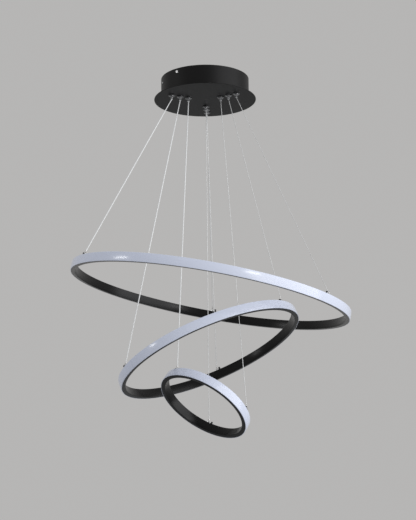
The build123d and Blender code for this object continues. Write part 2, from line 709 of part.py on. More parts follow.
def anchor_screws(ring):
    with BuildPart() as screws:
        for angle in ring.anchors.values():
            stand = anchor_plane(ring, angle)
            seat = stand.origin - stand.x_dir * ANCHOR_SCREW_DISTANCE
            with BuildSketch(Plane(origin=seat, x_dir=stand.x_dir, z_dir=stand.z_dir)):
                Circle(ANCHOR_HEAD_RADIUS)
            extrude(amount=ANCHOR_HEAD_HEIGHT, taper=ANCHOR_HEAD_TAPER_ANGLE)
            with BuildSketch(Plane(origin=seat, x_dir=stand.x_dir, z_dir=stand.z_dir * -1)):
                Circle(ANCHOR_SCREW_RADIUS)
            extrude(amount=ANCHOR_SCREW_LENGTH)
    finish(screws.part, f"{ring.name}_anchor_screws")


# ---- Build every piece ------------------------------------------------------------------
os.makedirs("parts", exist_ok=True)

canopy_drum()
canopy_plate()
plate_nuts()
ceiling_bracket()
bracket_screws()
earth_screw()
terminal_block()
driver_pads()
gripper_barrels()
gripper_nuts()
gripper_springs()

for index, ring in enumerate(RINGS):
    driver(index, f"{ring.name}_driver")
    profile(ring)
    diffuser(ring)
    led_strip(ring)
    splice(ring)
    anchor_bridges(ring)
    anchor_screws(ring)

for ring, side in GRIPPERS:
    plunger(ring, side)
    cable(ring, side)
    cable_end(ring, side)
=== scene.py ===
"""Three-ring pendant light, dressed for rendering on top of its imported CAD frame."""

import json
import logging
import math
from dataclasses import dataclass, field
from enum import Enum
from typing import Any, Callable, Dict, Iterable, List, Optional, Sequence, Tuple

import bmesh
import bpy
from mathutils import Matrix, Vector


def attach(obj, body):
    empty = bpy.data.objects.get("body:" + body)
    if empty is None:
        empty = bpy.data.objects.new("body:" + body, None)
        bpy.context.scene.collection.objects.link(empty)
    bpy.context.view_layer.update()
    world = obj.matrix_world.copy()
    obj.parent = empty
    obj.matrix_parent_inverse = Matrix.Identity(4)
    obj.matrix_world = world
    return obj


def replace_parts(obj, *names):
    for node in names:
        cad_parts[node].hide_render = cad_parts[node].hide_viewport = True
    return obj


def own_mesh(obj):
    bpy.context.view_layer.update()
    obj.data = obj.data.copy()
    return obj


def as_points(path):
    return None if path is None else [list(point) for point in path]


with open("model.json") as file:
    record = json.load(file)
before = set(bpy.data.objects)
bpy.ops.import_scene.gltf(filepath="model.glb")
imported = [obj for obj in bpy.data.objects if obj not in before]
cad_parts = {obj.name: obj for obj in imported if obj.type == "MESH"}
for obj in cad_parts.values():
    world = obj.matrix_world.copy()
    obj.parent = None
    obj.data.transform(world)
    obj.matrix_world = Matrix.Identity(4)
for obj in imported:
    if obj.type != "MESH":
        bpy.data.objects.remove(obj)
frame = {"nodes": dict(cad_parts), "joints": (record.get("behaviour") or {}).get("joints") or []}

log = logging.getLogger("pendant")

Tone = Tuple[float, float, float]
Corners = List[Tuple[float, float]]
Reshape = Callable[[float, float, float], float]

MM = 0.001
FULL_TURN = 2 * math.pi
TINY = 1e-9
WELD = 1e-7
# Share of X above which a direction takes its guide from Y.
ALONG_X = 0.9
# Numbers of a colour Mix node's sockets.
MIX_A, MIX_B, MIX_RESULT = 6, 7, 2


class Side(Enum):
    """The three places round the canopy where a ring's cables leave it."""

    LEFT = "left"
    RIGHT = "right"
    FAR = "far"


class Coords(Enum):
    """Texture coordinates that a material can start from."""

    OBJECT = "Object"
    UV = "UV"


GRIPPER_ANGLE = {Side.LEFT: 207.0, Side.RIGHT: 327.0, Side.FAR: 87.0}


def polar(radius: float, angle: float, z: float = 0.0) -> Vector:
    """Returns a point at a radius and an angle round the vertical axis.

    Args:
        radius: distance from the axis in metres.
        angle: degrees from +X towards +Y.
        z: height in metres.

    Returns:
        The point.
    """
    a = math.radians(angle)
    return Vector((radius * math.cos(a), radius * math.sin(a), z))


def stand(origin: Vector, up: Vector, along: Optional[Vector] = None) -> Matrix:
    """Returns the place of a piece that stands at a point.

    Args:
        origin: the point.
        up: direction of the piece's z.
        along: direction that its x comes as near to as it can.

    Returns:
        The matrix from the piece's own frame to the shared frame.
    """
    z = up.normalized()
    guide = along or (Vector((1, 0, 0)) if abs(z.x) < ALONG_X else Vector((0, 1, 0)))
    x = (guide - z * guide.dot(z)).normalized()
    return Matrix.Translation(origin) @ Matrix((x, z.cross(x), z)).transposed().to_4x4()


# ---- node graphs
class Socket:
    """A node's output that can be used in sums."""

    def __init__(self, graph: "NodeTree", output: bpy.types.NodeSocket) -> None:
        """Wraps one output of a tree's node."""
        self.graph = graph
        self.output = output

    def _math(self, operation: str, *terms: Any) -> "Socket":
        """Returns the result of one Math node on some sockets and numbers."""
        values = dict(enumerate(terms))
        return self.graph.node("ShaderNodeMath", values, operation=operation)

    def __add__(self, other: Any) -> "Socket":
        """Returns a sum."""
        return self._math("ADD", self, other)

    def __sub__(self, other: Any) -> "Socket":
        """Returns a difference."""
        return self._math("SUBTRACT", self, other)

    def __rsub__(self, other: Any) -> "Socket":
        """Returns a number less this socket."""
        return self._math("SUBTRACT", other, self)

    def __mul__(self, other: Any) -> "Socket":
        """Returns a product."""
        return self._math("MULTIPLY", self, other)

    def __gt__(self, other: Any) -> "Socket":
        """Returns 1 where this socket is the larger, and 0 elsewhere."""
        return self._math("GREATER_THAN", self, other)

    def sin(self) -> "Socket":
        """Returns the sine of this socket, in radians."""
        return self._math("SINE", self)

    __radd__ = __add__
    __rmul__ = __mul__


class NodeTree:
    """An emptied node tree, to which every node is added in one way."""

    def __init__(self, tree: bpy.types.NodeTree) -> None:
        """Empties a tree."""
        self.tree = tree
        self.tree.nodes.clear()

    def node(
        self, kind: str, values: Optional[Dict[Any, Any]] = None, pick: Any = 0, **settings: Any
    ) -> Socket:
        """Makes a node.

        Args:
            kind: the node's type.
            values: what each input gets, by its name or number.
            pick: name or number of the output wanted.
            **settings: the node's own settings.

        Returns:
            The output.
        """
        made = self.tree.nodes.new(kind)
        for key, value in settings.items():
            setattr(made, key, value)
        for key, value in (values or {}).items():
            self.feed(made.inputs[key], value)
        return Socket(self, made.outputs[pick])

    def feed(self, target: bpy.types.NodeSocket, item: Any) -> None:
        """Links a socket to a node's input, or sets the input to a plain value."""
        if isinstance(item, Socket):
            self.tree.links.new(item.output, target)
        else:
            target.default_value = item

    def close(self, kind: str, item: Socket) -> None:
        """Adds the tree's output node and links a shader to it."""
        self.feed(self.tree.nodes.new(kind).inputs[0], item)


class Graph(NodeTree):
    """One procedural material: a Principled shader and the nodes that feed it."""

    def __init__(self, name: str, coords: Coords) -> None:
        """Starts a material.

        Args:
            name: the material's name.
            coords: the coordinates that its patterns read.
        """
        self.material = bpy.data.materials.new(name)
        self.material.use_nodes = True
        super().__init__(self.material.node_tree)
        self.shader = self.tree.nodes.new("ShaderNodeBsdfPrincipled")
        self.close("ShaderNodeOutputMaterial", Socket(self, self.shader.outputs[0]))
        self.coords = self.node("ShaderNodeTexCoord", pick=coords.value)

    def scaled(self, x: float, y: float, z: float) -> Socket:
        """Returns the coordinates stretched along each axis."""
        return self.node("ShaderNodeMapping", {"Vector": self.coords, "Scale": (x, y, z)})

    def axis(self, name: str) -> Socket:
        """Returns one component of the coordinates."""
        return self.node("ShaderNodeSeparateXYZ", {0: self.coords}, pick=name)

    def noise(self, scale: float, detail: float = 2.0, vector: Optional[Socket] = None) -> Socket:
        """Returns a noise texture's value."""
        values = {"Vector": vector or self.coords, "Scale": scale, "Detail": detail}
        return self.node("ShaderNodeTexNoise", values)

    def cells(self, scale: float) -> Socket:
        """Returns the distance to the nearest of many scattered points."""
        return self.node("ShaderNodeTexVoronoi", {"Vector": self.coords, "Scale": scale}, pick="Distance")

    def blend(self, factor: Socket, low: Tone, high: Tone) -> Socket:
        """Returns a colour between two, by a factor."""
        values = {0: factor, MIX_A: (*low, 1.0), MIX_B: (*high, 1.0)}
        return self.node("ShaderNodeMix", values, pick=MIX_RESULT, data_type="RGBA")

    def relief(self, height: Socket, strength: float, distance: float) -> None:
        """Gives the surface relief from a height."""
        values = {"Strength": strength, "Distance": distance, "Height": height}
        self.feed(self.shader.inputs["Normal"], self.node("ShaderNodeBump", values))

    def dress(self, **inputs: Any) -> None:
        """Sets or links the shader's inputs; an underscore in a name stands for a space."""
        for key, value in inputs.items():
            self.feed(self.shader.inputs[key.replace("_", " ")], value)


# ---- finishes
@dataclass(frozen=True)
class Finish:
    """A finish of the light's pieces: two tones, and how rough it is."""

    name: str
    low: Tone
    high: Tone
    rough: float
    spread: float
    coords: Coords = Coords.OBJECT

    def apply(self, g: Graph) -> None:
        """Fills in the material's nodes; each kind of finish has its own."""
        raise NotImplementedError

    def material(self) -> bpy.types.Material:
        """Returns the finish as a new material."""
        g = Graph(self.name, self.coords)
        self.apply(g)
        return g.material


@dataclass(frozen=True)
class PowderCoat(Finish):
    """Fine matt powder coat, with its faint orange peel."""

    def apply(self, g: Graph) -> None:
        """Mottles the black a little and raises its peel."""
        g.dress(Base_Color=g.blend(g.noise(9.0), self.low, self.high))
        g.dress(Roughness=g.noise(420.0, 3.0) * self.spread + self.rough, Specular_IOR_Level=0.19)
        g.relief(g.noise(1300.0), strength=0.22, distance=0.00006)


@dataclass(frozen=True)
class Anodised(Finish):
    """Black anodised aluminium, drawn along its length."""

    def apply(self, g: Graph) -> None:
        """Lays the draw lines along U and a softer unevenness over them."""
        drawn = g.noise(1.0, 3.0, g.scaled(12.0, 5200.0, 1.0))
        soft = g.noise(1.0, 2.0, g.scaled(7.0, 30.0, 1.0))
        g.dress(Base_Color=g.blend(soft, self.low, self.high))
        g.dress(Roughness=(drawn + soft) * self.spread + self.rough, Specular_IOR_Level=0.20)
        g.relief(drawn, strength=0.08, distance=0.00004)


@dataclass(frozen=True)
class Opal(Finish):
    """Glossy opal plastic of the covers."""

    def apply(self, g: Graph) -> None:
        """Clouds the white very slightly under a thin clear skin."""
        haze = g.noise(1.0, 2.0, g.scaled(26.0, 120.0, 1.0))
        g.dress(Base_Color=g.blend(haze, self.low, self.high))
        g.dress(Roughness=haze * self.spread + self.rough, Specular_IOR_Level=0.36)
        g.dress(Coat_Weight=0.2, Coat_Roughness=0.09)
        g.relief(g.noise(1.0, 1.0, g.scaled(60.0, 90.0, 1.0)), strength=0.05, distance=0.0002)


@dataclass(frozen=True)
class Plated(Finish):
    """Metal or plating with a fine grain, which can be stretched along X."""

    grain: float = 900.0
    stretch: float = 1.0
    metallic: float = 1.0
    relief: float = 0.1

    def apply(self, g: Graph) -> None:
        """Lets one grain drive the tone, the roughness and the relief."""
        marks = g.noise(1.0, 3.0, g.scaled(self.grain * self.stretch, self.grain, self.grain))
        g.dress(Base_Color=g.blend(marks, self.low, self.high))
        g.dress(Metallic=self.metallic, Roughness=marks * self.spread + self.rough)
        g.relief(marks, strength=self.relief, distance=0.00004)


@dataclass(frozen=True)
class Spangled(Finish):
    """Zinc plate with its crystal bloom."""

    def apply(self, g: Graph) -> None:
        """Shows the bloom as cells of different tone."""
        g.dress(Base_Color=g.blend(g.cells(330.0), self.low, self.high))
        g.dress(Metallic=1.0, Roughness=g.noise(180.0) * self.spread + self.rough)
        g.relief(g.noise(2200.0), strength=0.12, distance=0.00003)


@dataclass(frozen=True)
class Stranded(Finish):
    """Winding lines of wires or cores along a cable, whose U runs along it in metres."""

    pitch: float = 5600.0
    slant: float = 31.0
    metallic: float = 1.0
    coat: float = 0.0

    def apply(self, g: Graph) -> None:
        """Winds the lines round the cable."""
        wires = (g.axis("X") * self.pitch + g.axis("Y") * self.slant).sin() * 0.5 + 0.5
        g.dress(Base_Color=g.blend(wires, self.low, self.high))
        g.dress(Metallic=self.metallic, Roughness=self.rough - wires * self.spread)
        g.dress(Coat_Weight=self.coat, Coat_Roughness=0.15)
        g.relief(wires, strength=0.1, distance=0.00005)


@dataclass(frozen=True)
class Moulded(Finish):
    """Moulded plastic with a fine spark texture."""

    spark: float = 1700.0

    def apply(self, g: Graph) -> None:
        """Adds a faint flow of tone under the texture."""
        spark = g.noise(self.spark)
        g.dress(Base_Color=g.blend(g.noise(22.0), self.low, self.high))
        g.dress(Roughness=spark * self.spread + self.rough)
        g.relief(spark, strength=0.25, distance=0.00008)


@dataclass(frozen=True)
class Foam(Finish):
    """Closed-cell foam."""

    def apply(self, g: Graph) -> None:
        """Darkens and sinks the cells."""
        cell = g.cells(1100.0)
        g.dress(Base_Color=g.blend(cell, self.low, self.high), Roughness=cell * self.spread + self.rough)
        g.relief(cell, strength=0.6, distance=0.0003)


@dataclass(frozen=True)
class LedBoard(Finish):
    """Coated board (low) whose chips (high) stand nearer than a radius to the ring's rim."""

    centre: Vector = field(default_factory=Vector)
    normal: Vector = field(default_factory=Vector)
    chip_radius: float = 0.0

    def apply(self, g: Graph) -> None:
        """Tells the chips apart by their distance from the ring's axis."""
        spot = g.node("ShaderNodeVectorMath", {0: g.coords, 1: self.centre}, operation="SUBTRACT")
        flat = g.node("ShaderNodeVectorMath", {0: spot, 1: self.normal}, operation="CROSS_PRODUCT")
        reach = g.node("ShaderNodeVectorMath", {0: flat}, pick="Value", operation="LENGTH")
        g.dress(Base_Color=g.blend(reach > self.chip_radius, self.low, self.high))
        g.dress(Roughness=g.noise(700.0) * self.spread + self.rough)
        g.relief(g.noise(1500.0), strength=0.15, distance=0.00005)


POWDER_COAT = PowderCoat("powder_coat", (0.0036, 0.0034, 0.0036), (0.0054, 0.0050, 0.0051), 0.38, 0.10)
BLACK_ANODISED = Anodised(
    "black_anodised", (0.0022, 0.0021, 0.0023), (0.0042, 0.0040, 0.0041), 0.19, 0.06, Coords.UV
)
OPAL = Opal("opal_lens", (0.632, 0.668, 0.780), (0.660, 0.696, 0.812), 0.16, 0.04, Coords.UV)
CHROME = Plated("chrome", (0.80, 0.80, 0.81), (0.93, 0.93, 0.94), 0.05, 0.08, grain=700.0, stretch=7.0)
DARK_NICKEL = Plated("dark_nickel", (0.20, 0.20, 0.205), (0.32, 0.32, 0.325), 0.10, 0.12, grain=1200.0)
SATIN_CHROME = Plated("satin_chrome", (0.74, 0.74, 0.75), (0.90, 0.90, 0.91), 0.22, 0.14, grain=1500.0)
ZINC = Spangled("zinc_plate", (0.42, 0.43, 0.44), (0.62, 0.63, 0.64), 0.26, 0.18)
# The anchor screws' own black oxide, which also stands in as painted reflection for the dark left half of
# each chrome staple.
BLACK_OXIDE_AND_DARK_REFLECTION = Plated(
    "black_oxide_and_dark_reflection", (0.004, 0.004, 0.0045), (0.014, 0.0135, 0.013), 0.34, 0.2, metallic=0.3, relief=0.2
)
CRIMP_METAL = Plated(
    "crimp_metal", (0.50, 0.50, 0.51), (0.80, 0.79, 0.78), 0.22, 0.2, grain=1500.0, relief=0.25
)
BRASS = Plated("brass", (0.55, 0.40, 0.17), (0.70, 0.53, 0.26), 0.2, 0.15)
WIRE_ROPE = Stranded(
    "wire_rope", (0.62, 0.62, 0.62), (0.76, 0.76, 0.75), 0.50, 0.06, Coords.UV, metallic=0.45
)
CLEAR_JACKET = Stranded(
    "clear_jacket", (0.74, 0.74, 0.73), (0.86, 0.86, 0.85), 0.42, 0.06, Coords.UV,
    pitch=700.0, slant=12.566, metallic=0.0, coat=0.2,
)
WHITE_MOULDING = Moulded("white_moulding", (0.66, 0.66, 0.64), (0.74, 0.74, 0.72), 0.42, 0.14)
NYLON = Moulded("nylon", (0.56, 0.55, 0.49), (0.66, 0.65, 0.60), 0.34, 0.10, spark=500.0)
FOAM = Foam("foam_tape", (0.012, 0.012, 0.012), (0.045, 0.045, 0.045), 0.85, 0.1)
PALE_FLOOR = Moulded("pale_floor", (0.44, 0.44, 0.43), (0.48, 0.48, 0.47), 0.75, 0.1, spark=40.0)


# ---- making meshes
def publish(
    bm: bmesh.types.BMesh, name: str, material: bpy.types.Material, crease: float = 35.0
) -> bpy.types.Object:
    """Turns a bmesh into a linked object with smooth faces and sharp creases.

    Args:
        bm: the mesh, which is freed.
        name: the object's name.
        material: its one material.
        crease: edges bent by more than this many degrees stay sharp.

    Returns:
        The object.
    """
    bmesh.ops.recalc_face_normals(bm, faces=bm.faces)
    mesh = bpy.data.meshes.new(name)
    bm.to_mesh(mesh)
    bm.free()
    mesh.materials.append(material)
    mesh.shade_smooth()
    mesh.set_sharp_from_angle(angle=math.radians(crease))
    made = bpy.data.objects.new(name, mesh)
    bpy.context.scene.collection.objects.link(made)
    log.info("%s: %d faces", name, len(mesh.polygons))
    return made


def capped(bm: bmesh.types.BMesh) -> None:
    """Closes every open end of a mesh."""
    bmesh.ops.holes_fill(bm, edges=[edge for edge in bm.edges if edge.is_boundary], sides=0)


def outline(
    bm: bmesh.types.BMesh, place: Matrix, corners: Corners, radii: Sequence[float], segments: int = 4
) -> List[bmesh.types.BMEdge]:
    """Draws a closed outline in a plane through an axis, and rounds its corners.

    Args:
        bm: the mesh to draw in.
        place: the axis's place; the outline lies in its x and z.
        corners: (distance from the axis, height) of each corner in metres.
        radii: how far each corner's rounding reaches, or 0 for a sharp one.
        segments: runs in each rounding.

    Returns:
        The outline's edges.
    """
    old = set(bm.faces)
    verts = [bm.verts.new(place @ Vector((r, 0.0, z))) for r, z in corners]
    bm.faces.new(verts)
    for radius in sorted(set(radii) - {0.0}):
        bmesh.ops.bevel(
            bm, geom=[vert for vert, own in zip(verts, radii) if own == radius], offset=radius,
            offset_type="OFFSET", affect="VERTICES", segments=segments, profile=0.5, material=-1,
        )
    face = next(iter(set(bm.faces) - old))
    edges = list(face.edges)
    bmesh.ops.delete(bm, geom=[face], context="FACES_ONLY")
    return edges


def spun(
    bm: bmesh.types.BMesh, edges: List[bmesh.types.BMEdge], place: Matrix, angle: float, steps: int
) -> None:
    """Sweeps an outline round an axis.

    Args:
        bm: the mesh.
        edges: the outline.
        place: where the axis stands; it is the place's z.
        angle: how far to go, in radians; a whole turn is closed.
        steps: runs round the axis.
    """
    corners = list({vert for edge in edges for vert in edge.verts})
    bmesh.ops.spin(
        bm, geom=corners + edges, cent=place.translation, axis=place.col[2].xyz, dvec=(0, 0, 0),
        angle=angle, steps=steps, use_merge=angle >= FULL_TURN, use_normal_flip=False,
        use_duplicate=False,
    )


def lathe(
    bm: bmesh.types.BMesh, place: Matrix, corners: Corners, radii: Sequence[float], segments: int,
    reshape: Optional[Reshape] = None,
) -> None:
    """Turns a closed outline round an axis, with an optional change of radius round it.

    Args:
        bm: the mesh to add to.
        place: where the axis stands; it is the place's z.
        corners: (radius, height) of each corner in metres.
        radii: the rounding at each corner.
        segments: stations round the axis.
        reshape: gives the new radius from the radius, the angle in radians and the height.
    """
    old = set(bm.verts)
    spun(bm, outline(bm, place, corners, radii, 3), place, FULL_TURN, segments)
    if reshape:
        back = place.inverted()
        for vert in set(bm.verts) - old:
            spot = back @ vert.co
            radius = math.hypot(spot.x, spot.y)
            factor = reshape(radius, math.atan2(spot.y, spot.x), spot.z) / max(radius, TINY)
            vert.co = place @ Vector((spot.x * factor, spot.y * factor, spot.z))


def wrapped(
    bm: bmesh.types.BMesh, stations: int, sides: int, place: Callable[[float, float], Vector],
    length: float,
) -> None:
    """Bends a flat grid into a tube, with U along it in metres and V once round it.

    Args:
        bm: the mesh to add to.
        stations: runs along the tube.
        sides: runs round it.
        place: gives a point from the shares along the tube and round it.
        length: the tube's length in metres.
    """
    uv = bm.loops.layers.uv.verify()
    sheet = bmesh.ops.create_grid(bm, x_segments=stations, y_segments=sides, size=0.5, calc_uvs=True)
    for face in {face for vert in sheet["verts"] for face in vert.link_faces}:
        for loop in face.loops:
            loop[uv].uv.x *= length
    for vert in sheet["verts"]:
        vert.co = place(vert.co.x + 0.5, vert.co.y + 0.5)
    bmesh.ops.remove_doubles(bm, verts=sheet["verts"], dist=WELD)


def facets(count: int) -> Callable[[float, float], float]:
    """Returns a rule for a polygon's radius.

    Args:
        count: the polygon's sides.

    Returns:
        A function of the polygon's inner radius and an angle in radians.
    """
    share = FULL_TURN / count

    def rule(inner: float, angle: float) -> float:
        """Returns the distance to the polygon's side at an angle."""
        return inner / math.cos((angle % share) - share / 2)

    return rule


# ---- what hangs where
@dataclass
class Cable:
    """One suspension cable, between a gripper and a ring."""

    ring: "Ring"
    side: Side
    plunger_tip: float = -56.0 * MM
    sleeve_from: float = 1.9 * MM
    sleeve_to: float = 6.9 * MM
    sleeve_wall: float = 0.45 * MM
    loop_radius: float = 1.9 * MM
    loop_wire: float = 0.45 * MM
    rope_lay: float = 9.0 * MM
    core_lay: float = 18.0 * MM
    runs_per_turn: int = 12
    seat: float = 1.0 * MM
    stub_radii: int = 12
    mean_share: float = 0.965
    lobe_share: float = 0.035
    loop_mean: float = 0.93
    loop_lobe: float = 0.07
    loop_strands: int = 5
    loop_twists: int = 9
    loop_droop: float = 0.10
    pinches: int = 3
    pinch_from: float = 0.2
    pinch_depth: float = 0.16
    neck: float = 0.55
    flare: float = 2.2
    lip: float = 0.93
    lip_share: float = 0.01

    @property
    def name(self) -> str:
        """Name stem shared with the CAD nodes."""
        return f"{self.ring.name}_{self.side.value}"

    @property
    def jacketed(self) -> bool:
        """The left cables carry the supply in a clear jacket, and the others are bare wire."""
        return self.side is Side.LEFT

    @property
    def radius(self) -> float:
        """Radius of the cable."""
        return 1.1 * MM if self.jacketed else 0.65 * MM

    @property
    def mouth(self) -> Vector:
        """Middle of the gripper's outlet."""
        return polar(self.ring.gripper_circle, GRIPPER_ANGLE[self.side], self.plunger_tip)

    @property
    def pivot(self) -> Vector:
        """Middle of the staple that the cable's loop goes round."""
        return self.ring.anchor(self.side, self.ring.bridge_height).translation

    @property
    def up(self) -> Vector:
        """Direction of the taut cable from the ring to the gripper."""
        return (self.mouth - self.pivot).normalized()

    @property
    def end(self) -> Vector:
        """Point where the cable goes into its crimp sleeve."""
        return self.pivot + self.up * self.sleeve_to

    @property
    def body(self) -> str:
        """CAD body that the cable's lower end moves with."""
        return f"{self.ring.name}_ring" if self.side is Side.FAR else f"{self.name}_end"

    def centreline(self) -> List[Vector]:
        """Returns the points of the NURBS line that the taut cable lies on, from the top.

        Six diameters below the gripper and above the sleeve the line has a point of its own.
        """
        top = self.mouth + self.up * self.seat
        stub = self.up * self.stub_radii * self.radius
        points = [top, top - stub, self.end + stub, self.end]
        curve = bpy.data.curves.new("route", "CURVE")
        curve.dimensions = "3D"
        spline = curve.splines.new("NURBS")
        spline.points.add(len(points) - 1)
        for spot, point in zip(spline.points, points):
            spot.co = (*point, 1.0)
        spline.order_u = 3
        spline.use_endpoint_u = True
        spline.resolution_u = 12
        holder = bpy.data.objects.new("route", curve)
        mesh = bpy.data.meshes.new_from_object(holder)
        line = [vert.co.copy() for vert in mesh.vertices]
        bpy.data.objects.remove(holder)
        bpy.data.curves.remove(curve)
        bpy.data.meshes.remove(mesh)
        return line

    def line_piece(self, material: bpy.types.Material) -> Tuple[bpy.types.Object, List[Vector]]:
        """Makes the cable: six twisted strands, or two cores in a jacket.

        Args:
            material: its material.

        Returns:
            The object, and the points of the line that it follows.
        """
        line = self.centreline()
        length = sum((b - a).length for a, b in zip(line, line[1:]))
        lay = self.core_lay if self.jacketed else self.rope_lay
        runs = int(length / lay * self.runs_per_turn)
        spots = evenly(line, runs)
        across = stand(Vector(), self.up).to_3x3()
        lobes = 2 if self.jacketed else 6

        def place(share: float, round_share: float) -> Vector:
            """Returns a point of the cable's surface."""
            twist = share * runs / self.runs_per_turn * FULL_TURN
            way = round_share * FULL_TURN
            if self.jacketed:
                wave = math.cos(lobes * (way - twist))
            else:
                wave, way = math.cos(lobes * way), way + twist
            radius = self.radius * (self.mean_share + self.lobe_share * wave)
            return spots[round(share * runs)] + across @ polar(radius, math.degrees(way))

        bm = bmesh.new()
        wrapped(bm, runs, 16 if self.jacketed else 12, place, length)
        capped(bm)
        return publish(bm, f"{self.name}_line", material, 60.0), spots

    def crimp_piece(self, material: bpy.types.Material) -> bpy.types.Object:
        """Makes the loop round the staple and the pressed sleeve above it.

        Args:
            material: its material.

        Returns:
            The object.
        """
        tangent = self.ring.anchor(self.side, 0.0).col[0].xyz
        across = (tangent - self.up * tangent.dot(self.up)).normalized()
        loop = stand(self.pivot, across, self.up)
        sleeve = stand(self.pivot, self.up, across)
        outer = self.radius + self.sleeve_wall

        def loop_place(share: float, round_share: float) -> Vector:
            """Returns a point of the loop's twisted wire."""
            a, b = share * FULL_TURN, round_share * FULL_TURN
            wave = math.cos(self.loop_strands * b)
            wire = self.loop_wire * (self.loop_mean + self.loop_lobe * wave)
            b += self.loop_twists * a
            reach = self.loop_radius + wire * math.cos(b)
            drop = self.loop_droop * self.loop_radius * max(0.0, math.cos(a)) ** 4
            return loop @ Vector((reach * math.cos(a) + drop, reach * math.sin(a), wire * math.sin(b)))

        def sleeve_place(share: float, round_share: float) -> Vector:
            """Returns a point of the sleeve, which is pressed flat in three places."""
            pressed = max(0.0, (share - self.pinch_from) / (1 - self.pinch_from))
            pinch = 0.5 - 0.5 * math.cos(self.pinches * FULL_TURN * pressed)
            at_end = share < self.lip_share or share > 1 - self.lip_share
            radius = outer * min(1.0, self.neck + self.flare * share) * (self.lip if at_end else 1.0)
            height = self.sleeve_from + (self.sleeve_to - self.sleeve_from) * share
            spot = polar(radius, 360 * round_share, height)
            return sleeve @ Vector((spot.x, spot.y * (1.0 - self.pinch_depth * pinch), spot.z))

        bm = bmesh.new()
        wrapped(bm, 40, 10, loop_place, FULL_TURN * self.loop_radius)
        wrapped(bm, 28, 20, sleeve_place, self.sleeve_to - self.sleeve_from)
        capped(bm)
        return publish(bm, f"{self.name}_crimp", material, 50.0)

    def follow(self, obj: bpy.types.Object) -> None:
        """Works out how far the taut cable would shorten as its ring's anchor rises, and gives it a mesh of
        its own.

        Args:
            obj: its mesh, which is final.
        """
        joints = {joint["name"]: joint for joint in frame["joints"]}
        own = f"{self.name}_lift"
        order = [f"{self.ring.name}_{side.value}_lift" for side in Side]
        alone = swung(self.end, joints[own])
        together = self.end.copy()
        for name in reversed(order[: order.index(own) + 1]):
            together = swung(together, joints[name])
        shift = (alone + together) / 2 - self.end
        reach = abs((self.end - self.mouth).dot(shift.normalized()))
        keep = 1 - shift.length / reach
        tuple(self.mouth)
        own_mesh(obj)
        log.info("%s shortens with %s, keep %.3f", obj.name, own, keep)

    def build(self, finish: Dict[str, bpy.types.Material]) -> None:
        """Makes the cable and its crimped end, and hangs the end on the body it moves with and the cable on
        the canopy.

        Args:
            finish: the materials by name.
        """
        end = self.crimp_piece(finish["crimp_metal"])
        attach(end, self.body)
        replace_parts(end, f"{self.name}_cable_end")
        kind = "clear_jacket" if self.jacketed else "wire_rope"
        obj, path = self.line_piece(finish[kind])
        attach(obj, "canopy")
        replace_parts(obj, f"{self.name}_cable")
        tuple(self.mouth)
        (self.end - self.mouth).length
        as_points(path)
        self.follow(obj)


def evenly(line: List[Vector], runs: int) -> List[Vector]:
    """Returns evenly spaced points of a line.

    Args:
        line: its points.
        runs: how many runs there are between the points returned.

    Returns:
        One point more than the runs.
    """
    marks = [0.0]
    for a, b in zip(line, line[1:]):
        marks.append(marks[-1] + (b - a).length)
    done, at = [], 0
    for step in range(runs + 1):
        want = marks[-1] * step / runs
        while at < len(line) - 2 and marks[at + 1] < want:
            at += 1
        share = (want - marks[at]) / max(marks[at + 1] - marks[at], TINY)
        done.append(line[at].lerp(line[at + 1], min(max(share, 0.0), 1.0)))
    return done


def swung(point: Vector, joint: Dict[str, Any]) -> Vector:
    """Returns a point after a hinge has gone to the end of its range."""
    pivot, axis = Vector(joint["pos_m"]), Vector(joint["axis"]).normalized()
    swing = Matrix.Rotation(math.radians(max(joint["range_deg"], key=abs)), 3, axis)
    return pivot + swing @ (point - pivot)


